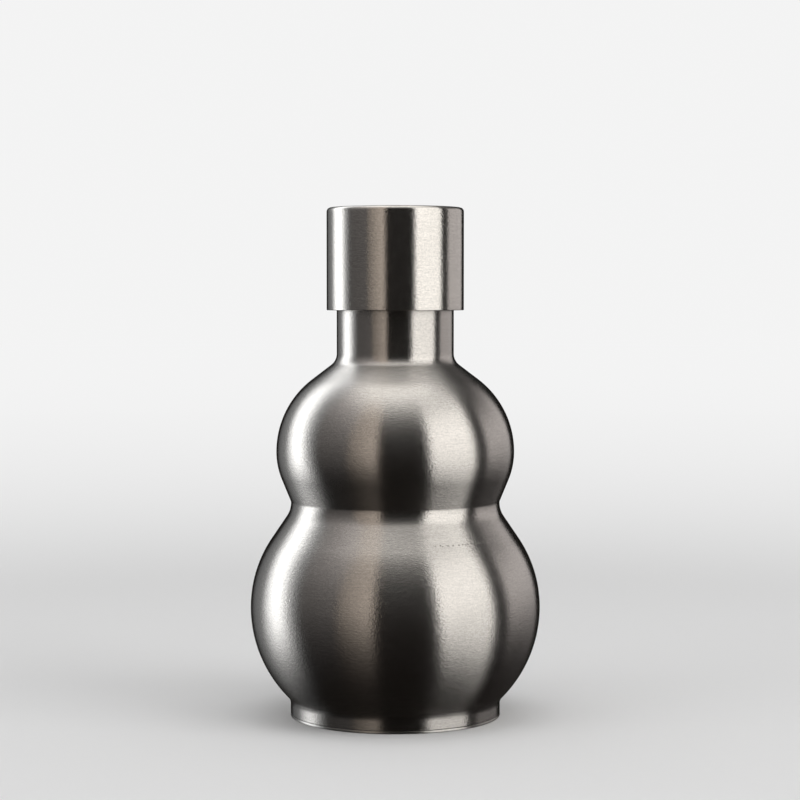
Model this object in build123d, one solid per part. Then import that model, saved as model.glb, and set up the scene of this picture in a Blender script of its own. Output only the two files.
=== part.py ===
from build123d import *
from math import acos, asin, atan2, cos, degrees, hypot, radians, sin, sqrt, tan
import os

# Gourd bottle: two round bulbs, double steel walls with a vacuum between them, and a
# screw cap. Millimetres, +Z up, origin at the middle of the foot, on the table.

# Outside of the bottle, from the table up
foot_radius = 31.0
foot_height = 5.0
lower_bulb_radius = 42.75
lower_belly_height = 27.3
lower_crown_height = 30.9
waist_depth = 4.3
waist_lower_fillet = 7.3
waist_upper_fillet = 1.5
upper_bulb_radius = 35.1
upper_belly_height = 15.0
upper_crown_height = 28.9
neck_radius = 17.25
neck_fillet = 4.15
neck_height = 12.8

# Arc of each bulb against the arc that would meet the next fillet with no straight flank
lower_crown_share = 0.93
upper_belly_share = 0.8
upper_crown_share = 0.95
# How far up the lower flank the two halves of each wall are welded
seam_share = 0.21

# Sheet of the two walls, and the vacuum between them
shell_wall = 0.6
liner_wall = 0.5
vacuum_gap = 2.5
liner_floor_clearance = 4.0
liner_floor_knuckle = 6.0

# Mouth: the neck steps in under the cap and carries the thread up to the lip
neck_cover = 1.6
thread_step = 0.9
thread_depth = 0.8
mouth_height = 15.5
lip_sheet = 0.6
lip_rounding = 0.5

# Foot: the shell's edge, the outer bottom and the cover that the bottle stands on
foot_lip_height = 0.8
foot_groove = 0.2
cover_sheet = 0.5
cover_rounding = 0.25
cover_wall_gap = 0.3
stand_width = 2.6
cover_recess = 1.6
cover_slope = 1.6
cover_bead_radius = 17.0
cover_bead_width = 5.0
cover_bead_height = 0.4
bottom_sheet = 0.6
bottom_flange_height = 2.0
bottom_knuckle = 0.9
dimple_radius = 4.5
dimple_depth = 1.0
vent_radius = 1.2
solder_thickness = 0.7

# Getter under the liner's floor
getter_radius = 4.0
getter_thickness = 1.3
getter_offset = 15.0
clip_sheet = 0.3
clip_clearance = 0.2
clip_flange = 2.0

# Cap: steel cup outside, threaded sleeve, inner lid with its plug, foam and gasket
cap_overhang = 2.95
cap_height = 30.1
cap_wall = 0.5
cap_corner = 1.2
cap_edge_rounding = 0.2
glue_gap = 0.1
sleeve_recess = 0.5
skirt_height = 2.6
skirt_clearance = 0.35
crest_clearance = 0.2
ledge_thickness = 2.0
lid_clearance = 0.15
lid_sheet = 1.5
plug_clearance = 0.5
plug_depth = 6.0
plug_rounding = 1.0
plug_dish = 0.6
bead_height = 0.6
bead_reach = 0.25
bead_drop = 0.15
sleeve_top_wall = 1.6
gasket_thickness = 1.6
gasket_overhang = 0.25
gasket_clearance = 0.1
gasket_rounding = 0.3
foam_clearance = 0.2

# Levels and radii that follow
cap_radius = neck_radius + cap_overhang
lower_bulb_level = foot_height + lower_belly_height
waist_level = lower_bulb_level + lower_crown_height
waist_radius = upper_bulb_radius - waist_depth
upper_bulb_level = waist_level + upper_belly_height
neck_level = upper_bulb_level + upper_crown_height
cap_level = neck_level + neck_height
step_level = cap_level + neck_cover
thread_root_radius = neck_radius - thread_step
rim_level = step_level + thread_step + mouth_height
top_level = cap_level + cap_height
liner_depth = shell_wall + vacuum_gap
bore_depth = liner_depth + liner_wall
bore_radius = neck_radius - bore_depth
foot_edge = foot_lip_height + foot_groove
foot_bore = foot_radius - shell_wall
liner_floor = foot_height + liner_floor_clearance
sleeve_radius = cap_radius - cap_wall - glue_gap
thread_bore = thread_root_radius + thread_depth + crest_clearance
plug_radius = bore_radius - plug_clearance
gasket_top = rim_level + gasket_thickness
ledge_top = gasket_top + ledge_thickness
crown_level = top_level - cap_wall


def flank(bulb_radius, throat_radius, rise, fillet, share):
    """Radius of a bulb's arc that leads by a straight flank into the fillet of a throat, and
    the angle above level, in degrees, at which the flank faces."""
    reach = throat_radius + fillet - bulb_radius
    radius = share * (reach**2 + rise**2 - fillet**2) / (2 * (fillet - reach))
    lean = degrees(atan2(rise, reach + radius))
    return radius, lean - degrees(acos((radius + fillet) / hypot(reach + radius, rise)))


lower_belly_radius = ((lower_bulb_radius - foot_radius) ** 2 + lower_belly_height**2) / (
    2 * (lower_bulb_radius - foot_radius)
)
lower_crown_radius, lower_slope = flank(
    lower_bulb_radius, waist_radius, lower_crown_height, waist_lower_fillet, lower_crown_share
)
upper_belly_radius, waist_slope = flank(
    upper_bulb_radius, waist_radius, upper_belly_height, waist_upper_fillet, upper_belly_share
)
upper_crown_radius, upper_slope = flank(
    upper_bulb_radius, neck_radius, upper_crown_height, neck_fillet, upper_crown_share
)


def bulb_arc(widest, level, radius, depth, start, end):
    """Arc of a bulb's wall at a depth under its outside, between two angles above level."""
    return CenterArc((widest - radius, level), radius - depth, start, end - start)


def throat_arc(narrowest, level, fillet, depth, start, end):
    """Hollow arc of a waist or neck at a depth under its outside, between two angles."""
    return CenterArc((narrowest + fillet, level), fillet + depth, 180 + start, end - start)


def flank_line(lower, upper, start_share, end_share):
    """Part of the straight flank from the end of one arc to the start of the next."""
    base = lower @ 1
    run = (upper @ 0) - base
    return Line(base + run * start_share, base + run * end_share)


def lower_arcs(depth):
    """Arcs at both ends of the flank that the seam crosses."""
    crown = bulb_arc(
        lower_bulb_radius, lower_bulb_level, lower_crown_radius, depth, 0, lower_slope
    )
    waist = throat_arc(waist_radius, waist_level, waist_lower_fillet, depth, lower_slope, 0)
    return crown, waist


def lower_contour(depth, foot_angle):
    """Wall line of the lower bulb from the given angle of its belly up to the seam."""
    belly = bulb_arc(
        lower_bulb_radius, lower_bulb_level, lower_belly_radius, depth, -foot_angle, 0
    )
    crown, waist = lower_arcs(depth)
    return [belly, crown, flank_line(crown, waist, 0, seam_share)]


def upper_contour(depth):
    """Wall line from the seam over the waist and the upper bulb to the straight neck."""
    crown, waist = lower_arcs(depth)
    crease = throat_arc(waist_radius, waist_level, waist_upper_fillet, depth, 0, -waist_slope)
    belly = bulb_arc(
        upper_bulb_radius, upper_bulb_level, upper_belly_radius, depth, -waist_slope, 0
    )
    shoulder = bulb_arc(
        upper_bulb_radius, upper_bulb_level, upper_crown_radius, depth, 0, upper_slope
    )
    throat = throat_arc(neck_radius, neck_level, neck_fillet, depth, upper_slope, 0)
    return [
        flank_line(crown, waist, seam_share, 1),
        waist,
        crease,
        flank_line(crease, belly, 0, 1),
        belly,
        shoulder,
        flank_line(shoulder, throat, 0, 1),
        throat,
    ]


def turned(*lines):
    """Solid made by turning a closed outline about the upright axis."""
    return revolve(Plane.XZ * make_face([edge for line in lines for edge in line.edges()]))


def closed(points, radii):
    """Outline through corners, each with its own rounding."""
    return FilletPolyline(*points, radius=radii, close=True)


def make_upper_shell():
    """Outer wall from the seam to the mouth: waist, upper bulb, shoulder, neck and thread band."""
    outside = upper_contour(0)
    inside = upper_contour(shell_wall)
    set_back = shell_wall * tan(radians(45) / 2)
    rim = rim_level - lip_sheet
    outer_neck = Polyline(
        outside[-1] @ 1,
        (neck_radius, step_level),
        (thread_root_radius, step_level + thread_step),
        (thread_root_radius, rim),
        (thread_root_radius - shell_wall, rim),
        (thread_root_radius - shell_wall, step_level + thread_step - set_back),
        (neck_radius - shell_wall, step_level - set_back),
        inside[-1] @ 1,
    )
    seam = Line(inside[0] @ 0, outside[0] @ 0)
    return turned(*outside, outer_neck, *inside, seam)


def make_lower_shell():
    """Outer wall of the lower bulb, from the seam down to the edge of the foot."""
    foot_angle = degrees(asin(lower_belly_height / lower_belly_radius))
    inner_reach = lower_bulb_radius - lower_belly_radius
    inner_angle = degrees(acos((foot_bore - inner_reach) / (lower_belly_radius - shell_wall)))
    outside = lower_contour(0, foot_angle)
    inside = lower_contour(shell_wall, inner_angle)
    foot = Polyline(
        inside[0] @ 0, (foot_bore, foot_edge), (foot_radius, foot_edge), outside[0] @ 0
    )
    seam = Line(inside[-1] @ 1, outside[-1] @ 1)
    return turned(*outside, seam, *inside, foot)


def make_liner_upper():
    """Inner wall from the seam to the mouth, with the lip that is welded to the shell."""
    outside = upper_contour(liner_depth)
    inside = upper_contour(bore_depth)
    rounding = lip_rounding * (1 - cos(radians(45)))
    lip = [
        Polyline(
            outside[-1] @ 1,
            (neck_radius - liner_depth, rim_level - lip_sheet),
            (thread_root_radius, rim_level - lip_sheet),
            (thread_root_radius, rim_level),
            (bore_radius + lip_rounding, rim_level),
        ),
        ThreePointArc(
            (bore_radius + lip_rounding, rim_level),
            (bore_radius + rounding, rim_level - rounding),
            (bore_radius, rim_level - lip_rounding),
        ),
        Line((bore_radius, rim_level - lip_rounding), inside[-1] @ 1),
    ]
    seam = Line(inside[0] @ 0, outside[0] @ 0)
    return turned(*outside, *lip, *inside, seam)


def floor_run(depth, level):
    """Knuckle and flat floor that close a lower wall line, and the angle where they leave it."""
    knuckle = liner_floor_knuckle - (depth - liner_depth)
    arm = lower_belly_radius - depth - knuckle
    angle = degrees(asin((lower_bulb_level - knuckle - level) / arm))
    centre = lower_bulb_radius - lower_belly_radius + arm * cos(radians(angle))
    corner = CenterArc((centre, level + knuckle), knuckle, -90, 90 - angle)
    return angle, [corner, Line((0, level), (centre, level))]


def make_liner_lower():
    """Inner wall of the lower bulb, with its rounded floor."""
    outer_angle, outer_floor = floor_run(liner_depth, liner_floor)
    inner_angle, inner_floor = floor_run(bore_depth, liner_floor + liner_wall)
    outside = lower_contour(liner_depth, outer_angle)
    inside = lower_contour(bore_depth, inner_angle)
    seam = Line(inside[-1] @ 1, outside[-1] @ 1)
    axis_edge = Line((0, liner_floor), (0, liner_floor + liner_wall))
    return turned(*outside, *outer_floor, axis_edge, *inner_floor, *inside, seam)


def make_outer_bottom():
    """Dished plate welded inside the foot, with a pressed dimple round the vent hole."""
    top = foot_height
    under = top - bottom_sheet
    boss = dimple_radius + bottom_sheet
    inner_knuckle = max(bottom_knuckle - bottom_sheet, 0)
    points = [
        (vent_radius, top + dimple_depth),
        (boss, top + dimple_depth),
        (boss, top),
        (foot_bore, top),
        (foot_bore, under - bottom_flange_height),
        (foot_bore - bottom_sheet, under - bottom_flange_height),
        (foot_bore - bottom_sheet, under),
        (dimple_radius, under),
        (dimple_radius, under + dimple_depth),
        (vent_radius, under + dimple_depth),
    ]
    radii = [0, 0, 0, bottom_knuckle, 0, 0, inner_knuckle, 0, 0, 0]
    return turned(closed(points, radii))


def make_solder_seal():
    """Drop that fills the dimple and the vent hole, and holds the vacuum."""
    ceiling = foot_height - bottom_sheet + dimple_depth
    bulge = solder_thickness / 2
    radius = (dimple_radius**2 + bulge**2) / (2 * bulge)
    centre = (0, ceiling - solder_thickness + radius)
    drop = CenterArc(centre, radius, -90, degrees(asin(dimple_radius / radius)))
    sides = Polyline(
        drop @ 1,
        (dimple_radius, ceiling),
        (vent_radius, ceiling),
        (vent_radius, ceiling + bottom_sheet),
        (0, ceiling + bottom_sheet),
        drop @ 0,
    )
    return turned(drop, sides)


def make_base_cover():
    """Pressed cover: its hem shows under the shell, its ring stands, its middle is recessed."""
    wall_radius = foot_bore - glue_gap
    wall_top = foot_height - bottom_sheet - bottom_flange_height - cover_wall_gap
    stand = foot_radius - stand_width
    flat = stand - cover_slope
    bead = cover_bead_radius + cover_bead_width
    under = [
        (flat, cover_recess),
        (bead, cover_recess),
        (bead - cover_bead_height, cover_recess + cover_bead_height),
        (cover_bead_radius + cover_bead_height, cover_recess + cover_bead_height),
        (cover_bead_radius, cover_recess),
    ]
    over = [(radius, level + cover_sheet) for radius, level in reversed(under)]
    points = [
        (foot_radius, 0),
        (stand, 0),
        *under,
        (0, cover_recess),
        (0, cover_recess + cover_sheet),
        *over,
        (stand, cover_sheet),
        (wall_radius - cover_sheet, cover_sheet),
        (wall_radius - cover_sheet, wall_top),
        (wall_radius, wall_top),
        (wall_radius, foot_lip_height),
        (foot_radius, foot_lip_height),
    ]
    radii = [cover_rounding] + [0] * (len(points) - 2) + [cover_rounding]
    return turned(closed(points, radii))


def make_getter():
    """Pellet that keeps the vacuum clean, held against the liner's floor."""
    return Pos(getter_offset, 0, liner_floor - getter_thickness) * Cylinder(
        getter_radius, getter_thickness, align=(Align.CENTER, Align.CENTER, Align.MIN)
    )


def make_getter_clip():
    """Shallow sheet cup with a flange that is spot-welded under the liner's floor."""
    pocket = getter_radius + clip_clearance
    cup = pocket + clip_sheet
    under = liner_floor - getter_thickness
    profile = Polyline(
        (0, under - clip_sheet),
        (cup, under - clip_sheet),
        (cup, liner_floor - clip_sheet),
        (cup + clip_flange, liner_floor - clip_sheet),
        (cup + clip_flange, liner_floor),
        (pocket, liner_floor),
        (pocket, under),
        (0, under),
        close=True,
    )
    return Pos(getter_offset, 0, 0) * turned(profile)


def make_cap_shell():
    """Drawn steel cup with a rounded upper edge and a plain lower edge."""
    inner_radius = cap_radius - cap_wall
    inner_corner = max(cap_corner - cap_wall, 0)
    points = [
        (0, top_level),
        (cap_radius, top_level),
        (cap_radius, cap_level),
        (inner_radius, cap_level),
        (inner_radius, crown_level),
        (0, crown_level),
    ]
    radii = [0, cap_corner, cap_edge_rounding, cap_edge_rounding, inner_corner, 0]
    return turned(closed(points, radii))


def make_cap_sleeve():
    """Moulded sleeve: skirt round the neck, thread bore, and the ledge that holds the lid."""
    edge = cap_level + sleeve_recess
    skirt_bore = neck_radius + skirt_clearance
    skirt_top = edge + skirt_height
    relief = skirt_bore - thread_bore
    upper_bore = sleeve_radius - sleeve_top_wall
    hole = plug_radius + lid_clearance
    corner = cap_corner + glue_gap
    return turned(
        Polyline(
            (sleeve_radius, edge),
            (sleeve_radius, crown_level - corner),
            (sleeve_radius - corner, crown_level),
            (upper_bore, crown_level),
            (upper_bore, ledge_top),
            (hole, ledge_top),
            (hole, gasket_top),
            (thread_bore, gasket_top),
            (thread_bore, skirt_top + relief),
            (skirt_bore, skirt_top),
            (skirt_bore, edge),
            close=True,
        )
    )


def make_inner_lid():
    """Lid welded on the ledge, with the hollow plug that reaches down into the mouth."""
    plate_radius = sleeve_radius - sleeve_top_wall - lid_clearance
    plate_top = ledge_top + lid_sheet
    bottom = rim_level - plug_depth
    bead_top = rim_level - bead_drop
    bead = plug_radius + bead_reach
    core = plug_radius - lid_sheet
    dish = core - plug_dish
    points = [
        (core, plate_top),
        (plate_radius, plate_top),
        (plate_radius, ledge_top),
        (plug_radius, ledge_top),
        (plug_radius, bead_top),
        (bead, bead_top),
        (plug_radius, bead_top - bead_height),
        (plug_radius, bottom),
        (core, bottom),
        (dish, bottom + plug_dish),
        (0, bottom + plug_dish),
        (0, bottom + plug_dish + lid_sheet),
        (core, bottom + plug_dish + lid_sheet),
    ]
    radii = [0, 0, 0, 0, 0, 0, 0, min(plug_rounding, lid_sheet / 2), 0, 0, 0, 0, 0]
    return turned(closed(points, radii))


def make_cap_foam():
    """Foam that fills the cap's crown and the hollow of the plug."""
    crown_radius = sleeve_radius - sleeve_top_wall - foam_clearance
    core = plug_radius - lid_sheet - foam_clearance
    shelf = ledge_top + lid_sheet
    floor = rim_level - plug_depth + plug_dish + lid_sheet
    return turned(
        Polyline(
            (0, floor),
            (core, floor),
            (core, shelf),
            (crown_radius, shelf),
            (crown_radius, crown_level),
            (0, crown_level),
            close=True,
        )
    )


def make_gasket():
    """Silicone ring that lies between the mouth's lip and the ledge."""
    inner = plug_radius + gasket_clearance
    outer = thread_root_radius + gasket_overhang
    points = [(inner, rim_level), (outer, rim_level), (outer, gasket_top), (inner, gasket_top)]
    rounding = min(gasket_rounding, gasket_thickness / 3)
    return turned(closed(points, [0, rounding, rounding, 0]))


pieces = {
    "upper_shell": make_upper_shell,
    "lower_shell": make_lower_shell,
    "liner_upper": make_liner_upper,
    "liner_lower": make_liner_lower,
    "outer_bottom": make_outer_bottom,
    "solder_seal": make_solder_seal,
    "base_cover": make_base_cover,
    "getter": make_getter,
    "getter_clip": make_getter_clip,
    "cap_shell": make_cap_shell,
    "cap_sleeve": make_cap_sleeve,
    "inner_lid": make_inner_lid,
    "cap_foam": make_cap_foam,
    "gasket": make_gasket,
}

os.makedirs("parts", exist_ok=True)
for name, make in pieces.items():
    piece = make()
    piece.label = name
    export_step(piece, f"parts/{name}.step")
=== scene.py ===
from math import acos, atan2, ceil, cos, degrees, hypot, pi, radians, sin, tan, tau

import bmesh
import bpy
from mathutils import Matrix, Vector


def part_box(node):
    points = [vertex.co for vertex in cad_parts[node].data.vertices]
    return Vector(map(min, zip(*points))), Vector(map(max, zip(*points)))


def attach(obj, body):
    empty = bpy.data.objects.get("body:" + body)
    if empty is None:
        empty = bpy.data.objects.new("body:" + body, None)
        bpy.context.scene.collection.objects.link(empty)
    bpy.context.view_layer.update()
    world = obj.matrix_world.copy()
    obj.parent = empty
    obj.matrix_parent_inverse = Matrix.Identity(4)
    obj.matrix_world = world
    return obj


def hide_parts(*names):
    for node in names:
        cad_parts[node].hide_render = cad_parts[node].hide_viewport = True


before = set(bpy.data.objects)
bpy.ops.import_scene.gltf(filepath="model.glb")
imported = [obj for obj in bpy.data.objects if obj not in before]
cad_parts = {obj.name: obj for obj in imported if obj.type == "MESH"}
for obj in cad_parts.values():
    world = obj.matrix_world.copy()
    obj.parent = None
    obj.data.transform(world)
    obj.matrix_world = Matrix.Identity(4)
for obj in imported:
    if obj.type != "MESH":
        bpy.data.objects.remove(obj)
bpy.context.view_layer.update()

# Gourd bottle of brushed steel on a pale floor. Metres, +Z up, the same frame as the solids.
mm = 0.001

# Outside of the bottle, from the table up
foot_radius = 31.0 * mm
foot_height = 5.0 * mm
lower_bulb_radius = 42.75 * mm
lower_belly_height = 27.3 * mm
lower_crown_height = 30.9 * mm
waist_depth = 4.3 * mm
waist_lower_fillet = 7.3 * mm
waist_upper_fillet = 1.5 * mm
upper_bulb_radius = 35.1 * mm
upper_belly_height = 15.0 * mm
upper_crown_height = 28.9 * mm
neck_radius = 17.25 * mm
neck_fillet = 4.15 * mm
lower_crown_share = 0.93
upper_belly_share = 0.8
upper_crown_share = 0.95
seam_share = 0.21
shell_wall = 0.6 * mm
foot_edge = 1.0 * mm
foot_blend = 3.4 * mm

# Neck band with its two-start thread. The lean of the step under it is in degrees.
neck_cover = 1.6 * mm
thread_step = 0.9 * mm
step_lean = 45.0
thread_depth = 0.78 * mm
thread_lead = 8.0 * mm
thread_starts = 2
thread_run_out = 1.4 * mm
thread_margin = 1.2 * mm
ridge_share = 0.27
step_rounding = 0.5 * mm
lip_sheet = 0.6 * mm

# Cap, its threaded sleeve and the base cover
cap_wall = 0.5 * mm
cap_corner = 1.2 * mm
cap_edge_rounding = 0.2 * mm
glue_gap = 0.1 * mm
skirt_clearance = 0.35 * mm
skirt_height = 2.6 * mm
bore_clearance = 1.0 * mm
ledge_thickness = 2.0 * mm
sleeve_top_wall = 1.6 * mm
lid_hole = 13.3 * mm
groove_ridge_share = 0.2
groove_ridge_height = 0.74 * mm
groove_start = 0.4 * mm
groove_end = 0.6 * mm
cover_sheet = 0.5 * mm
hem_height = 0.8 * mm
stand_width = 2.6 * mm
cover_recess = 1.6 * mm
cover_slope = 1.6 * mm
cover_bead_radius = 17.0 * mm
cover_bead_width = 5.0 * mm
cover_bead_height = 0.4 * mm
cover_rounding = 0.25 * mm
fold_rounding = 0.5 * mm

# Fineness of the turned meshes, with turns in degrees, and two lengths that count as none
columns = 192
row_spacing = 0.8 * mm
row_turn = 4.0
corner_turn = 12.0
sharp_turn = 32.0
thread_row = 0.2 * mm
touching = 0.01 * mm
hair = 0.001 * mm

cap_low, cap_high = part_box("cap_shell")
sleeve_low, sleeve_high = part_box("cap_sleeve")
gasket_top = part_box("gasket")[1].z
rim_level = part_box("liner_upper")[1].z
cover_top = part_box("base_cover")[1].z

lower_bulb_level = foot_height + lower_belly_height
waist_level = lower_bulb_level + lower_crown_height
waist_radius = upper_bulb_radius - waist_depth
upper_bulb_level = waist_level + upper_belly_height
neck_level = upper_bulb_level + upper_crown_height
cap_radius = cap_high.x
step_level = cap_low.z + neck_cover
thread_root = neck_radius - thread_step


def flank(bulb, throat, rise, fillet, share):
    """Radius of a bulb's arc and the angle at which its straight flank faces, in degrees."""
    reach = throat + fillet - bulb
    radius = share * (reach**2 + rise**2 - fillet**2) / (2 * (fillet - reach))
    lean = degrees(atan2(rise, reach + radius))
    return radius, lean - degrees(acos((radius + fillet) / hypot(reach + radius, rise)))


def arc(centre, radius, start, end):
    """Points of an arc in the plane of radius and height, its angles in degrees."""
    turn = abs(end - start)
    steps = max(2, ceil(turn / row_turn), ceil(radius * radians(turn) / row_spacing))
    angles = [radians(start + (end - start) * i / steps) for i in range(steps + 1)]
    return [(centre[0] + radius * cos(a), centre[1] + radius * sin(a)) for a in angles]


def bulb_arc(widest, level, radius, depth, start, end):
    """Arc of a bulb's wall, at a depth under its outside."""
    return arc((widest - radius, level), radius - depth, start, end)


def throat_arc(narrowest, level, fillet, depth, start, end):
    """Hollow arc of the neck, the waist or the foot, at a depth under its outside."""
    return arc((narrowest + fillet, level), fillet + depth, 180 + start, 180 + end)


# The belly's arc runs through the foot band's upper corner. The other arcs end in flanks.
lower_belly = ((lower_bulb_radius - foot_radius) ** 2 + lower_belly_height**2) / (
    2 * (lower_bulb_radius - foot_radius)
)
lower_crown, lower_slope = flank(
    lower_bulb_radius, waist_radius, lower_crown_height, waist_lower_fillet, lower_crown_share
)
upper_belly, waist_slope = flank(
    upper_bulb_radius, waist_radius, upper_belly_height, waist_upper_fillet, upper_belly_share
)
upper_crown, upper_slope = flank(
    upper_bulb_radius, neck_radius, upper_crown_height, neck_fillet, upper_crown_share
)


def along(start, end, share):
    """Point at a share of the way from one point to another."""
    return tuple(a + (b - a) * share for a, b in zip(start, end))


def spaced(points, spacing):
    """The same line with extra points, so that none of its runs is longer than the spacing."""
    line = [points[0]]
    for start, end in zip(points, points[1:]):
        steps = max(1, ceil((hypot(end[0] - start[0], end[1] - start[1]) - hair) / spacing))
        line += [along(start, end, i / steps) for i in range(1, steps + 1)]
    return line


def rounded(points, radii):
    """Open line through corners, each rounded by its own radius."""
    line = [points[0]]
    for before, corner, after, radius in zip(points, points[1:], points[2:], radii[1:]):
        if radius == 0:
            line.append(corner)
            continue
        back = Vector(before) - Vector(corner)
        on = Vector(after) - Vector(corner)
        half = back.angle(on) / 2
        cut = min(radius / tan(half), back.length * 0.5, on.length * 0.5)
        steps = max(2, ceil((180 - degrees(half) * 2) / corner_turn))
        start = Vector(corner) + back.normalized() * cut
        end = Vector(corner) + on.normalized() * cut
        bisector = (back.normalized() + on.normalized()).normalized()
        centre = Vector(corner) + bisector * (cut / cos(half))
        reach = (start - centre).length
        for i in range(steps + 1):
            toward = start.lerp(end, i / steps) - centre
            line.append(tuple(centre + toward.normalized() * reach))
    line.append(points[-1])
    return line


def lower_wall(depth, angle):
    """Wall line of the lower bulb from the given angle of its belly up to the seam."""
    belly = bulb_arc(lower_bulb_radius, lower_bulb_level, lower_belly, depth, -angle, 0)
    crown = bulb_arc(lower_bulb_radius, lower_bulb_level, lower_crown, depth, 0, lower_slope)
    return belly + crown[1:] + [along(crown[-1], waist_start(depth), seam_share)]


def waist_start(depth):
    """Point where the waist's hollow arc begins, above the seam."""
    return throat_arc(waist_radius, waist_level, waist_lower_fillet, depth, lower_slope, 0)[0]


def upper_wall(depth):
    """Wall line from the seam over the waist and the upper bulb to the straight neck."""
    waist = throat_arc(waist_radius, waist_level, waist_lower_fillet, depth, lower_slope, 0)
    crease = throat_arc(waist_radius, waist_level, waist_upper_fillet, depth, 0, -waist_slope)
    belly = bulb_arc(upper_bulb_radius, upper_bulb_level, upper_belly, depth, -waist_slope, 0)
    crown = bulb_arc(upper_bulb_radius, upper_bulb_level, upper_crown, depth, 0, upper_slope)
    throat = throat_arc(neck_radius, neck_level, neck_fillet, depth, upper_slope, 0)
    seam = lower_wall(depth, 1)[-1]
    start = spaced([seam, waist[0]], row_spacing)
    shoulder = spaced([crown[-1], throat[0]], row_spacing)
    return start + waist[1:] + crease[1:] + belly + crown[1:] + shoulder[1:] + throat[1:]


def turned(name, body, outline, material, nodes, closed=True, relief=None):
    """Mesh made by turning an outline of radius and height about the upright axis. Its UV
    map holds the share of the turn and the length along the outline, in metres."""
    ring = outline + outline[:1] if closed else outline
    travelled = [0.0]
    for start, end in zip(ring, ring[1:]):
        travelled.append(travelled[-1] + hypot(end[0] - start[0], end[1] - start[1]))
    mesh = bpy.data.meshes.new(name)
    work = bmesh.new()
    uv_layer = work.loops.layers.uv.new("UVMap")
    rows = []
    for radius, level in outline:
        if radius < hair:
            rows.append([work.verts.new((0, 0, level))] * columns)
            continue
        row = []
        for i in range(columns):
            angle = tau * i / columns
            reach = radius + (relief(angle, radius, level) if relief else 0)
            row.append(work.verts.new((reach * cos(angle), reach * sin(angle), level)))
        rows.append(row)
    if closed:
        rows.append(rows[0])
    for j, (low, high) in enumerate(zip(rows, rows[1:])):
        for i in range(columns):
            k = (i + 1) % columns
            corners = [
                (low[i], i, j), (low[k], i + 1, j), (high[k], i + 1, j + 1), (high[i], i, j + 1)
            ]
            kept = [c for n, c in enumerate(corners) if c[0] is not corners[n - 1][0]]
            face = work.faces.new([c[0] for c in kept])
            for loop, (_, column, row) in zip(face.loops, kept):
                loop[uv_layer].uv = (column / columns, travelled[row])
    bmesh.ops.recalc_face_normals(work, faces=work.faces)
    work.to_mesh(mesh)
    work.free()
    mesh.shade_smooth()
    mesh.set_sharp_from_angle(angle=radians(sharp_turn))
    piece = bpy.data.objects.new(name, mesh)
    bpy.context.scene.collection.objects.link(piece)
    mesh.materials.append(material)
    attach(piece, body)
    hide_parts(*nodes)
    return piece


def ridge(phase, share):
    """Height, from 0 to 1, of a rounded ridge that takes up twice the share of each pitch."""
    off = abs(phase % 1 - 0.5)
    return 0.5 + 0.5 * cos(pi * off / share) if off < share else 0.0


def run_out(level, low, high):
    """Fades the thread towards both ends of its band."""
    inside = min(level - low, high - level) / thread_run_out
    t = min(max(inside, 0.0), 1.0)
    return t * t * (3 - 2 * t)


def thread_phase(angle, level):
    """Place in the thread's pitch: a right-handed helix with its starts side by side."""
    return (level / thread_lead - angle / tau) * thread_starts


def mouth_thread(angle, radius, level):
    """Ridges that stand out of the neck band."""
    if abs(radius - thread_root) > touching:
        return 0.0
    fade = run_out(level, step_level + thread_step, rim_level - lip_sheet - thread_margin)
    return thread_depth * fade * ridge(thread_phase(angle, level), ridge_share)


def make_lower_shell(material):
    """Lower bulb, up to the welded seam, blended into the foot band under it."""
    foot_bore = foot_radius - shell_wall
    belly_centre = lower_bulb_radius - lower_belly
    inner_angle = degrees(acos((foot_bore - belly_centre) / (lower_belly - shell_wall)))
    inside = lower_wall(shell_wall, inner_angle)
    span = lower_belly + foot_blend
    turn = acos((foot_radius + foot_blend - belly_centre) / span)
    blend_level = lower_bulb_level - span * sin(turn)
    blend = throat_arc(foot_radius, blend_level, foot_blend, 0, 0, -degrees(turn))
    outline = spaced([(foot_radius, foot_edge), blend[0]], row_spacing) + blend[1:]
    outline += lower_wall(0, degrees(turn))[1:] + list(reversed(inside))
    outline.append((foot_bore, foot_edge))
    return turned(
        "lower_shell_skin", "bottle", outline, material, ["lower_shell"]
    )


def make_upper_shell(material):
    """Waist, upper bulb, shoulder and neck, and the threaded band under the cap."""
    set_back = shell_wall * tan(radians(step_lean / 2))
    rim = rim_level - lip_sheet
    root_level = step_level + thread_step
    band = rounded(
        [
            (neck_radius, neck_level),
            (neck_radius, step_level),
            (thread_root, root_level),
            (thread_root, rim),
        ],
        [0, step_rounding, step_rounding],
    )
    outside = upper_wall(0)[:-1] + spaced(band[:2], row_spacing) + band[2:-1]
    outside += spaced([band[-2], band[-1]], thread_row)[1:]
    inner = [
        (thread_root - shell_wall, rim),
        (thread_root - shell_wall, root_level - set_back),
        (neck_radius - shell_wall, step_level - set_back),
    ]
    outline = outside + inner + list(reversed(upper_wall(shell_wall)))
    return turned(
        "upper_shell_skin", "bottle", outline, material, ["upper_shell"],
        relief=mouth_thread,
    )


def make_cap_shell(material):
    """Drawn cup with a rounded upper edge and a narrow rounded lower edge."""
    inner = cap_radius - cap_wall
    crown = cap_high.z - cap_wall
    points = [
        (0, cap_high.z), (cap_radius, cap_high.z), (cap_radius, cap_low.z),
        (inner, cap_low.z), (inner, crown), (0, crown),
    ]
    radii = [0, cap_corner, cap_edge_rounding, cap_edge_rounding, cap_corner - cap_wall]
    outline = spaced(rounded(points, radii), row_spacing)
    return turned(
        "cap_shell_skin", "cap", outline, material, ["cap_shell"], closed=False
    )


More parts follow.
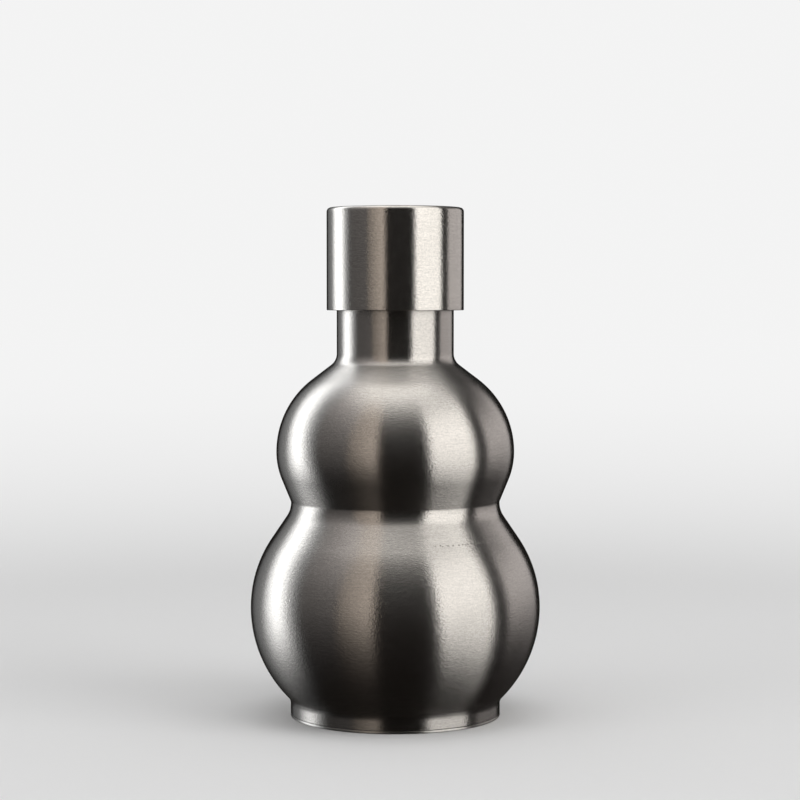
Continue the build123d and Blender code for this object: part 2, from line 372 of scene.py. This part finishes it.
def make_base_cover(material):
    """Pressed cover under the foot: rolled hem, flat ring to stand on, recessed middle."""
    wall = foot_radius - shell_wall - glue_gap
    stand = foot_radius - stand_width
    flat = stand - cover_slope
    bead = cover_bead_radius + cover_bead_width
    under = [
        (flat, cover_recess),
        (bead, cover_recess),
        (bead - cover_bead_height, cover_recess + cover_bead_height),
        (cover_bead_radius + cover_bead_height, cover_recess + cover_bead_height),
        (cover_bead_radius, cover_recess),
    ]
    over = [(radius, level + cover_sheet) for radius, level in reversed(under)]
    points = [
        (0, cover_recess), *reversed(under), (stand, 0), (foot_radius, 0),
        (foot_radius, hem_height), (wall, hem_height), (wall, cover_top),
        (wall - cover_sheet, cover_top), (wall - cover_sheet, cover_sheet),
        (stand, cover_sheet), *reversed(over), (0, cover_recess + cover_sheet),
    ]
    folds = [cover_bead_height] * 4 + [fold_rounding] * 2
    edges = [cover_rounding] * 2
    radii = [0, *folds, *edges] + [0] * (len(points) - len(folds) - len(edges) - 1)
    outline = spaced(rounded(points, radii), row_spacing)
    return turned(
        "base_cover_skin", "bottle", outline, material, ["base_cover"],
        closed=False,
    )


def make_cap_sleeve(material):
    """Moulded sleeve in the cap, with the thread that takes the neck's."""
    outer = sleeve_high.x
    edge = sleeve_low.z
    skirt_bore = neck_radius + skirt_clearance
    bore = thread_root + bore_clearance
    skirt_top = edge + skirt_height
    ledge = gasket_top + ledge_thickness
    upper_bore = outer - sleeve_top_wall
    corner = cap_corner + glue_gap
    upper = [
        (outer, edge), (outer, sleeve_high.z - corner), (outer - corner, sleeve_high.z),
        (upper_bore, sleeve_high.z), (upper_bore, ledge), (lid_hole, ledge),
        (lid_hole, gasket_top),
    ]
    threaded = [upper[-1], (bore, gasket_top), (bore, skirt_top + skirt_bore - bore)]
    skirt = [threaded[-1], (skirt_bore, skirt_top), (skirt_bore, edge), (outer, edge)]
    outline = spaced(upper, row_spacing) + spaced(threaded, thread_row)[1:]
    outline += spaced(skirt, row_spacing)[1:-1]

    def cap_thread(angle, radius, level):
        """Ridges that stand out of the bore, half a pitch from the neck's."""
        if abs(radius - bore) > touching:
            return 0.0
        fade = run_out(level, skirt_top + groove_start, rim_level - groove_end)
        phase = thread_phase(angle, level) + 0.5
        return -groove_ridge_height * fade * ridge(phase, groove_ridge_share)

    return turned(
        "cap_sleeve_skin", "cap", outline, material, ["cap_sleeve"],
        relief=cap_thread,
    )


class Nodes:
    """Shorthand for building one material's nodes."""

    def __init__(self, name):
        self.material = bpy.data.materials.new(name)
        self.material.use_nodes = True
        self.tree = self.material.node_tree
        self.shader = self.tree.nodes["Principled BSDF"]
        self.surface = self.tree.nodes["Material Output"].inputs["Surface"]

    def add(self, kind, inputs=(), **settings):
        """A node with its settings and its inputs, each a value or another node's output."""
        node = self.tree.nodes.new(kind)
        for key, value in settings.items():
            setattr(node, key, value)
        for key, value in dict(inputs).items():
            self.put(node.inputs[key], value)
        return node

    def put(self, socket, value):
        """Links an output to a socket, or sets the socket's own value."""
        if isinstance(value, bpy.types.NodeSocket):
            self.tree.links.new(value, socket)
        else:
            socket.default_value = value

    def position(self):
        """Place of the shaded point in its object's own frame."""
        return self.add("ShaderNodeTexCoord").outputs["Object"]

    def math(self, operation, a, b=0.0, c=0.0):
        """Output of one arithmetic step."""
        node = self.add("ShaderNodeMath", {0: a, 1: b, 2: c}, operation=operation)
        return node.outputs[0]

    def noise(self, vector, scale, detail, roughness=0.5):
        """Value from 0 to 1 of a noise whose features are one unit over scale long."""
        inputs = {"Vector": vector, "Scale": scale, "Detail": detail, "Roughness": roughness}
        return self.add("ShaderNodeTexNoise", inputs).outputs[0]

    def along_line(self, value):
        """Value from 0 to 1 of a noise along one coordinate, its features about a unit long."""
        inputs = {"W": value, "Scale": 1.0, "Detail": 1.0}
        return self.add("ShaderNodeTexNoise", inputs, noise_dimensions="1D").outputs[0]

    def band(self, value, low, high, floor=0.0, top=1.0):
        """Value mapped smoothly from one range to another."""
        inputs = {
            "Value": value, "From Min": low, "From Max": high, "To Min": floor, "To Max": top
        }
        node = self.add("ShaderNodeMapRange", inputs, interpolation_type="SMOOTHSTEP")
        return node.outputs[0]

    def mixed(self, share, start, end):
        """Colour between two, each given as a colour or as another node's output. The node
        has a set of sockets for each kind of data, and its colours are A, B and Result."""
        node = self.add("ShaderNodeMix", {0: share}, data_type="RGBA")
        for socket in node.inputs:
            if socket.type == "RGBA":
                self.put(socket, start if socket.name == "A" else end)
        return next(socket for socket in node.outputs if socket.type == "RGBA")

    def tinted(self, value, dark, light):
        """Colour between a dark and a light one, by a value from 0 to 1."""
        return self.mixed(value, (*dark, 1), (*light, 1))


# Marks of the brushing: size and detail of each, weight in the tone and share in the relief
long_streak = 5.0 * mm
long_streak_width = 0.32 * mm
short_streak = 1.1 * mm
short_streak_width = 0.42 * mm
stipple_width = 0.44 * mm
cloud_width = 22.0 * mm
streak_detail = 3.0
streak_sharpness = 0.6
stipple_detail = 1.0
cloud_detail = 2.0
streak_weight = 0.25
stipple_weight = 0.3
cloud_weight = 0.2
streak_relief = 0.9
stipple_relief = 0.4
scratch_depth = 0.042 * mm
steel_darkest = 0.85
steel_lightest = 1.13
anisotropy = 0.95
quarter_turn = 0.25

# Marks of the ground weld line, and painted shade that darkens the foot band
pit_spacing = 0.95 * mm
pit_reach = 0.2
pit_height = 0.2 * mm
pit_wander = 0.25 * mm
pit_tone = (0.06, 0.055, 0.05)
pit_darkness = 0.5
pit_sinking = 1.2
pit_heading = radians(33)
pit_spread = radians(17)
pit_fade_share = 0.8
foot_painted_shade = 0.25
painted_shade_edge = 0.3 * mm

# Grain of the moulded pieces: the width of its features, its depth and its tone
plastic_grain = 0.35 * mm
plastic_depth = 0.03 * mm
silicone_grain = 0.5 * mm
silicone_depth = 0.02 * mm
foam_grain = 0.6 * mm
foam_depth = 0.15 * mm
glass_grain = 1.2 * mm
glass_depth = 0.03 * mm
sinter_grain = 0.3 * mm
sinter_depth = 0.04 * mm
mottle_width = 9.0 * mm
grain_detail = 3.0
mottle_share = 0.5
moulded_darkest = 0.88
moulded_lightest = 1.1

# Values of the noise between which tone and roughness change, and how far roughness does
tone_span = (0.3, 0.7)
steel_satin_span = (0.25, 0.75)
moulded_satin_span = (0.3, 0.7)
satin_spread = 0.08


def place(n, has_uv):
    """Place on the surface, its three parts, and the length along the outline. On a mesh
    without a UV map, the height less the radius stands in for that length."""
    position = n.position()
    parts = n.add("ShaderNodeSeparateXYZ", {0: position}).outputs
    if has_uv:
        uv = n.add("ShaderNodeUVMap", uv_map="UVMap").outputs[0]
        length = n.add("ShaderNodeSeparateXYZ", {0: uv}).outputs[1]
    else:
        square = n.math("MULTIPLY", parts[1], parts[1])
        squares = n.math("MULTIPLY_ADD", parts[0], parts[0], square)
        length = n.math("SUBTRACT", parts[2], n.math("SQRT", squares))
    return position, parts, length


def satin(n, value, span, roughness):
    """Roughness that rises a little while a value goes through its span."""
    least, most = roughness * (1 - satin_spread), roughness * (1 + satin_spread)
    return n.band(value, *span, least, most)


def streaks(n, parts, length, long, fine):
    """Noise drawn out round the axis, with one length along the grain and one across it."""
    x = n.math("MULTIPLY", parts[0], 1 / long)
    y = n.math("MULTIPLY", parts[1], 1 / long)
    z = n.math("MULTIPLY", length, 1 / fine)
    vector = n.add("ShaderNodeCombineXYZ", {0: x, 1: y, 2: z}).outputs[0]
    return n.noise(vector, 1.0, streak_detail, streak_sharpness)


def brushed_steel(name, colour, roughness, grain=1.0, has_uv=True, foot=None, pits=None):
    """Steel brushed round the axis: short streaks, a fine stipple and a faint unevenness.
    Grain scales its relief. Below the height foot its colour is darkened with painted shade,
    and pits says where its weld line shows."""
    n = Nodes(name)
    position, parts, length = place(n, has_uv)
    long = streaks(n, parts, length, long_streak, long_streak_width)
    short = streaks(n, parts, length, short_streak, short_streak_width)
    stipple = n.noise(position, 1 / stipple_width, stipple_detail)
    cloud = n.noise(position, 1 / cloud_width, cloud_detail)
    drawn = n.math("MULTIPLY", n.math("ADD", long, short), streak_weight)
    speckled = n.math("MULTIPLY_ADD", stipple, stipple_weight, drawn)
    shade = n.math("MULTIPLY_ADD", cloud, cloud_weight, speckled)
    dark = [c * steel_darkest for c in colour]
    light = [c * steel_lightest for c in colour]
    tone = n.tinted(n.band(shade, *tone_span), dark, light)
    # Painted shade: below the foot height the colour is mixed towards black
    if foot:
        painted_foot_shade = n.band(parts[2], foot, foot - painted_shade_edge, 0.0, foot_painted_shade)
        tone = n.mixed(painted_foot_shade, tone, (0, 0, 0, 1))
    fine = n.math("MULTIPLY", short, streak_relief * grain)
    height = n.math("MULTIPLY_ADD", stipple, stipple_relief * grain, fine)
    if pits:
        tone, height = with_pits(n, parts, tone, height, *pits)
    bump = {"Height": height, "Strength": 1.0, "Distance": scratch_depth}
    shader = n.shader
    n.put(shader.inputs["Base Color"], tone)
    n.put(shader.inputs["Metallic"], 1.0)
    n.put(shader.inputs["Roughness"], satin(n, shade, steel_satin_span, roughness))
    n.put(shader.inputs["Anisotropic"], anisotropy)
    n.put(shader.inputs["Anisotropic Rotation"], quarter_turn)
    tangent = n.add("ShaderNodeTangent", direction_type="RADIAL", axis="Z")
    n.put(shader.inputs["Tangent"], tangent.outputs[0])
    n.put(shader.inputs["Normal"], n.add("ShaderNodeBump", bump).outputs[0])
    return n.material


def with_pits(n, parts, tone, height, level, radius, heading, spread):
    """A stretch of the ground weld line where small pits are left in the steel."""
    turn = n.math("ARCTAN2", parts[0], n.math("MULTIPLY", parts[1], -1.0))
    across = n.math("MULTIPLY", turn, radius / pit_spacing)
    cells = n.add("ShaderNodeTexVoronoi", {"W": across, "Scale": 1.0}, voronoi_dimensions="1D")
    specks = n.band(cells.outputs["Distance"], pit_reach, pit_reach / 2)
    sway = n.math("MULTIPLY_ADD", n.along_line(across), 2 * pit_wander, -pit_wander)
    rise = n.math("SUBTRACT", n.math("SUBTRACT", parts[2], level), sway)
    near = n.band(n.math("ABSOLUTE", rise), pit_height, pit_height / 2)
    off = n.math("ABSOLUTE", n.math("SUBTRACT", turn, heading))
    stretch = n.band(off, spread, spread * pit_fade_share)
    pit = n.math("MULTIPLY", n.math("MULTIPLY", near, stretch), specks)
    pitted = n.mixed(n.math("MULTIPLY", pit, pit_darkness), tone, (*pit_tone, 1))
    return pitted, n.math("SUBTRACT", height, n.math("MULTIPLY", pit, pit_sinking))


def moulded(name, colour, roughness, fineness, depth):
    """What is moulded, fused or sintered: a fine matt grain and a faint unevenness."""
    n = Nodes(name)
    position = n.position()
    grain = n.noise(position, 1 / fineness, grain_detail)
    cloud = n.noise(position, 1 / mottle_width, cloud_detail)
    mottle = n.math("MULTIPLY", cloud, mottle_share)
    shade = n.math("MULTIPLY_ADD", grain, 1 - mottle_share, mottle)
    dark = [c * moulded_darkest for c in colour]
    light = [c * moulded_lightest for c in colour]
    bump = n.add("ShaderNodeBump", {"Height": grain, "Strength": 1.0, "Distance": depth})
    n.put(n.shader.inputs["Base Color"], n.tinted(n.band(shade, *tone_span), dark, light))
    n.put(n.shader.inputs["Roughness"], satin(n, cloud, moulded_satin_span, roughness))
    n.put(n.shader.inputs["Normal"], bump.outputs[0])
    return n.material


def dress(node, material):
    """Gives a CAD node that stays its own material."""
    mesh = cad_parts[node].data
    mesh.materials.clear()
    mesh.materials.append(material)


# Colours and roughness
steel_tint = (0.60, 0.58, 0.555)
cap_tint = (0.67, 0.65, 0.62)
base_tint = (0.58, 0.57, 0.55)
liner_tint = (0.62, 0.61, 0.59)
plastic_tint = (0.035, 0.035, 0.037)
silicone_tint = (0.78, 0.78, 0.76)
foam_tint = (0.85, 0.83, 0.76)
glass_tint = (0.20, 0.20, 0.21)
sinter_tint = (0.25, 0.25, 0.26)
shell_roughness = 0.235
cap_roughness = 0.2
base_roughness = 0.3
liner_roughness = 0.22
liner_grain = 0.4
plastic_roughness = 0.5
silicone_roughness = 0.45
foam_roughness = 0.85
glass_roughness = 0.25
sinter_roughness = 0.7

seam_radius, seam_level = lower_wall(0, 1)[-1]
pits = (seam_level, seam_radius, pit_heading, pit_spread)

shell_material = brushed_steel(
    "shell_steel_look", steel_tint, shell_roughness, foot=foot_height, pits=pits
)
cap_material = brushed_steel("cap_steel_look", cap_tint, cap_roughness)
base_material = brushed_steel("base_steel_look", base_tint, base_roughness)
inner_base_material = brushed_steel(
    "base_steel_inner_look", base_tint, base_roughness, has_uv=False
)
liner_material = brushed_steel(
    "liner_steel_look", liner_tint, liner_roughness, grain=liner_grain, has_uv=False
)
plastic_material = moulded(
    "cap_plastic_look", plastic_tint, plastic_roughness, plastic_grain, plastic_depth
)
silicone_material = moulded(
    "silicone_look", silicone_tint, silicone_roughness, silicone_grain, silicone_depth
)
foam_material = moulded("foam_look", foam_tint, foam_roughness, foam_grain, foam_depth)
glass_material = moulded(
    "solder_glass_look", glass_tint, glass_roughness, glass_grain, glass_depth
)
sinter_material = moulded(
    "getter_metal_look", sinter_tint, sinter_roughness, sinter_grain, sinter_depth
)

make_lower_shell(shell_material)
make_upper_shell(shell_material)
make_cap_shell(cap_material)
make_base_cover(base_material)
make_cap_sleeve(plastic_material)
for node, material in {
    "liner_upper": liner_material,
    "liner_lower": liner_material,
    "outer_bottom": inner_base_material,
    "getter_clip": inner_base_material,
    "solder_seal": glass_material,
    "getter": sinter_material,
    "inner_lid": plastic_material,
    "cap_foam": foam_material,
    "gasket": silicone_material,
}.items():
    dress(node, material)


# Studio. Bearings are in degrees to the right of the camera's side of the bottle.
middle = Vector((0, 0, 75.0 * mm))
card_step = 5.0


def bearing(azimuth, elevation, distance):
    """Point at a bearing and an elevation from the bottle's middle."""
    a, e = radians(azimuth), radians(elevation)
    return middle + distance * Vector((sin(a) * cos(e), -cos(a) * cos(e), sin(e)))


def card(name, tint, distance, *rungs):
    """Curved card that shows only in reflections. It may reach below the floor, which they
    leave out. Each rung, from the lowest, is an elevation and then the card's columns there:
    a bearing and the brightness at it."""
    counts = []
    for k in range(1, len(rungs[0]) - 1):
        widest = max(rung[k + 1][0] - rung[k][0] for rung in rungs)
        counts.append(max(1, ceil(widest / card_step)))
    rows = []
    for low, high in zip(rungs, rungs[1:]):
        up = max(1, ceil((high[0] - low[0]) / card_step))
        for i in range(1 if rows else 0, up + 1):
            ends = [along(a, b, i / up) for a, b in zip(low[1:], high[1:])]
            row = [ends[0]]
            for start, end, steps in zip(ends, ends[1:], counts):
                row += [along(start, end, j / steps) for j in range(1, steps + 1)]
            rows.append([(low[0] + (high[0] - low[0]) * i / up, *end) for end in row])
    across = len(rows[0])
    points = [bearing(side, height, distance) for row in rows for height, side, _ in row]
    levels = [glow for row in rows for _, _, glow in row]
    corners = [j * across + i for j in range(len(rows) - 1) for i in range(across - 1)]
    faces = [(k, k + 1, k + across + 1, k + across) for k in corners]
    mesh = bpy.data.meshes.new(name)
    mesh.from_pydata(points, [], faces)
    mesh.attributes.new("glow", "FLOAT", "POINT").data.foreach_set("value", levels)
    n = Nodes(name + "_look")
    n.tree.nodes.remove(n.shader)
    strength = n.add("ShaderNodeAttribute", attribute_name="glow").outputs["Fac"]
    light = n.add("ShaderNodeEmission", {"Color": (*tint, 1), "Strength": strength})
    n.put(n.surface, light.outputs[0])
    mesh.materials.append(n.material)
    piece = bpy.data.objects.new(name, mesh)
    bpy.context.scene.collection.objects.link(piece)
    piece.visible_camera = False
    piece.visible_diffuse = False
    piece.visible_shadow = False
    piece.visible_transmission = False
    return piece


daylight = (0.97, 0.985, 1.0)
warm = (1.0, 0.975, 0.94)
rosy = (1.0, 0.94, 0.92)
amber = (1.0, 0.87, 0.76)
brown = (1.0, 0.86, 0.76)
card(
    "curtain", brown, 1.7,
    (-90, (-180, 0.01), (180, 0.01)), (-30, (-180, 0.01), (180, 0.01)),
    (30, (-180, 0.012), (180, 0.012)),
)
card(
    "ceiling_card", warm, 1.6,
    (8, (-180, 0.012), (-150, 0.012), (0, 0.012), (150, 0.012), (180, 0.012)),
    (30, (-180, 0.03), (-150, 0.03), (0, 0.03), (150, 0.03), (180, 0.03)),
    (42, (-180, 0.1), (-150, 0.1), (0, 0.1), (150, 0.1), (180, 0.1)),
    (52, (-180, 0.14), (-150, 0.34), (0, 0.24), (150, 0.28), (180, 0.14)),
    (62, (-180, 0.2), (-150, 0.95), (0, 0.72), (150, 0.85), (180, 0.2)),
    (70, (-180, 0.25), (-150, 1.5), (0, 1.22), (150, 1.4), (180, 0.25)),
    (78, (-180, 0.4), (-150, 1.7), (0, 1.48), (150, 1.65), (180, 0.4)),
    (90, (-180, 1.9), (-150, 1.9), (0, 1.9), (150, 1.9), (180, 1.9)),
)
card(
    "left_strip", daylight, 1.3,
    (-50, (-150, 0.01), (-132, 0.01), (-116, 0.02), (-98, 0.02), (-90, 0.01), (-78, 0.01)),
    (-40, (-150, 0.02), (-131, 0.03), (-114, 0.08), (-97, 0.08), (-90, 0.03), (-78, 0.01)),
    (-30, (-152, 0.04), (-131, 0.18), (-110, 0.34), (-94, 0.34), (-86, 0.1), (-77, 0.02)),
    (-20, (-154, 0.07), (-131, 0.28), (-109, 1.2), (-97, 1.2), (-88, 0.35), (-79, 0.04)),
    (-10, (-154, 0.1), (-129, 0.28), (-109, 2.05), (-100, 2.05), (-90, 0.5), (-80, 0.06)),
    (5, (-155, 0.11), (-130, 0.3), (-112, 2.4), (-105, 2.4), (-92, 0.55), (-82, 0.1)),
    (20, (-161, 0.17), (-140, 0.36), (-122, 2.4), (-113, 2.4), (-96, 0.52), (-85, 0.16)),
    (30, (-168, 0.2), (-150, 0.34), (-129, 2.3), (-118, 2.3), (-100, 0.5), (-88, 0.2)),
    (40, (-172, 0.24), (-154, 0.45), (-138, 2.2), (-125, 2.2), (-107, 0.5), (-95, 0.26)),
    (52, (-178, 0.36), (-164, 0.8), (-152, 1.6), (-135, 1.6), (-117, 0.6), (-103, 0.4)),
    (62, (-188, 0.85), (-176, 0.92), (-164, 0.95), (-144, 0.95), (-126, 0.9), (-112, 0.88)),
)
card(
    "left_card_dim", rosy, 1.4,
    (-40, (-90, 0.01), (-46, 0.01)), (-20, (-92, 0.03), (-46, 0.035)),
    (-10, (-94, 0.05), (-46, 0.07)), (5, (-96, 0.1), (-46, 0.12)),
    (20, (-98, 0.14), (-46, 0.18)), (40, (-102, 0.22), (-46, 0.36)),
    (52, (-104, 0.42), (-46, 0.5)), (62, (-106, 0.95), (-46, 0.9)),
)
card(
    "left_card_bright", amber, 1.45,
    (-50, (-46, 0.01), (-17, 0.03)), (-30, (-46, 0.02), (-17, 0.1)),
    (-10, (-46, 0.1), (-17, 0.38)), (5, (-46, 0.24), (-17, 0.68)),
    (20, (-46, 0.3), (-17, 0.62)), (45, (-46, 0.36), (-17, 0.5)),
    (62, (-46, 0.85), (-17, 0.85)),
)
card(
    "right_card", warm, 1.35,
    (-62, (60, 0.01), (85, 0.01), (115, 0.01)), (-50, (52, 0.02), (80, 0.07), (108, 0.06)),
    (-40, (44, 0.2), (80, 0.32), (94, 0.24)), (-30, (39, 0.58), (80, 0.66), (87, 0.5)),
    (-20, (37, 0.9), (80, 0.92), (84, 0.8)), (-10, (35, 1.22), (80, 1.15), (84, 1.0)),
    (0, (33, 1.42), (79, 1.36), (83, 1.3)), (10, (33, 1.57), (79, 1.46), (82, 1.4)),
    (30, (33, 1.6), (80, 1.55), (86, 1.4)), (40, (33, 1.42), (80, 1.46), (90, 1.3)),
    (52, (33, 0.8), (80, 0.9), (102, 0.8)), (62, (33, 0.85), (80, 0.88), (112, 0.85)),
)
card(
    "right_gap_card", rosy, 1.5,
    (-40, (80, 0.02), (100, 0.02)), (-15, (80, 0.04), (100, 0.04)),
    (25, (80, 0.06), (104, 0.06)),
)
card(
    "right_back_card", rosy, 1.45,
    (-30, (99, 0.02), (147, 0.01)), (-20, (99, 0.05), (147, 0.03)),
    (-10, (99, 0.28), (147, 0.2)), (0, (99, 0.58), (147, 0.55)),
    (10, (99, 0.7), (147, 0.65)), (20, (99, 0.62), (147, 0.55)),
    (28, (102, 0.38), (147, 0.26)), (36, (104, 0.1), (147, 0.1)),
)

# Floor, backdrop and lamps
floor_colour = (0.80, 0.80, 0.80)
floor_shade = (0.788, 0.788, 0.788)
floor_grain = 3.0 * mm
floor_roughness = 0.7
floor_gloss = 0.2
floor_reach = 6.0
floor_sides = 64
fade_start = 0.3
fade_end = 5.0
backdrop_strength = 0.9
fill_strength = 0.55
lamp_distance = 1.5
side_lamp_size = 0.9
top_lamp_size = 1.2


def make_floor():
    """Pale floor that turns into the backdrop's own brightness far from the bottle. It is
    clear from below."""
    mesh = bpy.data.meshes.new("floor")
    angles = [tau * i / floor_sides for i in range(floor_sides)]
    ring = [(floor_reach * cos(angle), floor_reach * sin(angle), 0) for angle in angles]
    mesh.from_pydata(ring, [], [tuple(range(floor_sides))])
    n = Nodes("floor_look")
    position = n.position()
    grain = n.noise(position, 1 / floor_grain, grain_detail)
    n.put(n.shader.inputs["Base Color"], n.tinted(grain, floor_shade, floor_colour))
    n.put(n.shader.inputs["Roughness"], floor_roughness)
    n.put(n.shader.inputs["Specular IOR Level"], floor_gloss)
    reach = n.add("ShaderNodeVectorMath", {0: position}, operation="LENGTH").outputs["Value"]
    far = n.band(n.math("DIVIDE", 1.0, reach), 1 / fade_start, 1 / fade_end)
    glow = {"Color": (1, 1, 1, 1), "Strength": backdrop_strength}
    backdrop = n.add("ShaderNodeEmission", glow).outputs[0]
    blend = {0: far, 1: n.shader.outputs[0], 2: backdrop}
    fade = n.add("ShaderNodeMixShader", blend)
    behind = n.add("ShaderNodeNewGeometry").outputs["Backfacing"]
    clear = n.add("ShaderNodeBsdfTransparent")
    whole = n.add("ShaderNodeMixShader", {0: behind, 1: fade.outputs[0], 2: clear.outputs[0]})
    n.put(n.surface, whole.outputs[0])
    mesh.materials.append(n.material)
    floor = bpy.data.objects.new("floor", mesh)
    bpy.context.scene.collection.objects.link(floor)
    floor.visible_glossy = False


def make_world():
    """Pale backdrop for camera, mirror and glass, and an even fill light for the rest."""
    world = bpy.data.worlds.new("studio")
    bpy.context.scene.world = world
    world.use_nodes = True
    tree = world.node_tree
    background = tree.nodes["Background"]
    background.inputs["Color"].default_value = (1, 1, 1, 1)
    rays = tree.nodes.new("ShaderNodeLightPath").outputs
    shown = tree.nodes.new("ShaderNodeMath")
    shown.operation = "MAXIMUM"
    tree.links.new(rays["Is Camera Ray"], shown.inputs[0])
    tree.links.new(rays["Is Glossy Ray"], shown.inputs[1])
    seen = tree.nodes.new("ShaderNodeMath")
    seen.operation = "MAXIMUM"
    tree.links.new(shown.outputs[0], seen.inputs[0])
    tree.links.new(rays["Is Transmission Ray"], seen.inputs[1])
    strength = tree.nodes.new("ShaderNodeMapRange")
    tree.links.new(seen.outputs[0], strength.inputs["Value"])
    strength.inputs["To Min"].default_value = fill_strength
    strength.inputs["To Max"].default_value = backdrop_strength
    tree.links.new(strength.outputs[0], background.inputs["Strength"])


def lamp(name, azimuth, elevation, size, power):
    """Soft square lamp that lights what is matt. The steel mirrors the cards instead."""
    data = bpy.data.lights.new(name, "AREA")
    data.shape = "SQUARE"
    data.size = size
    data.energy = power
    light = bpy.data.objects.new(name, data)
    bpy.context.scene.collection.objects.link(light)
    light.location = bearing(azimuth, elevation, lamp_distance)
    light.rotation_euler = (middle - light.location).to_track_quat("-Z", "Y").to_euler()
    light.visible_camera = False
    light.visible_glossy = False


make_floor()
make_world()
lamp("key_lamp", 60, 35, side_lamp_size, 6.0)
lamp("fill_lamp", -60, 30, side_lamp_size, 2.5)
lamp("top_lamp", 0, 80, top_lamp_size, 5.0)


# Camera: focal length and sensor in the lens's own millimetres, place in metres
focal_length = 100.0
sensor_width = 36.0
camera_place = (0.0014, -0.6554, 0.1243)
camera_tilt = 87.30


def make_camera():
    """Long lens a little above the shoulder, looking slightly down."""
    data = bpy.data.cameras.new("camera")
    data.lens = focal_length
    data.sensor_width = sensor_width
    camera = bpy.data.objects.new("camera", data)
    bpy.context.scene.collection.objects.link(camera)
    camera.location = camera_place
    camera.rotation_euler = (radians(camera_tilt), 0, 0)
    bpy.context.scene.camera = camera


make_camera()
bpy.context.scene.view_settings.view_transform = "Standard"
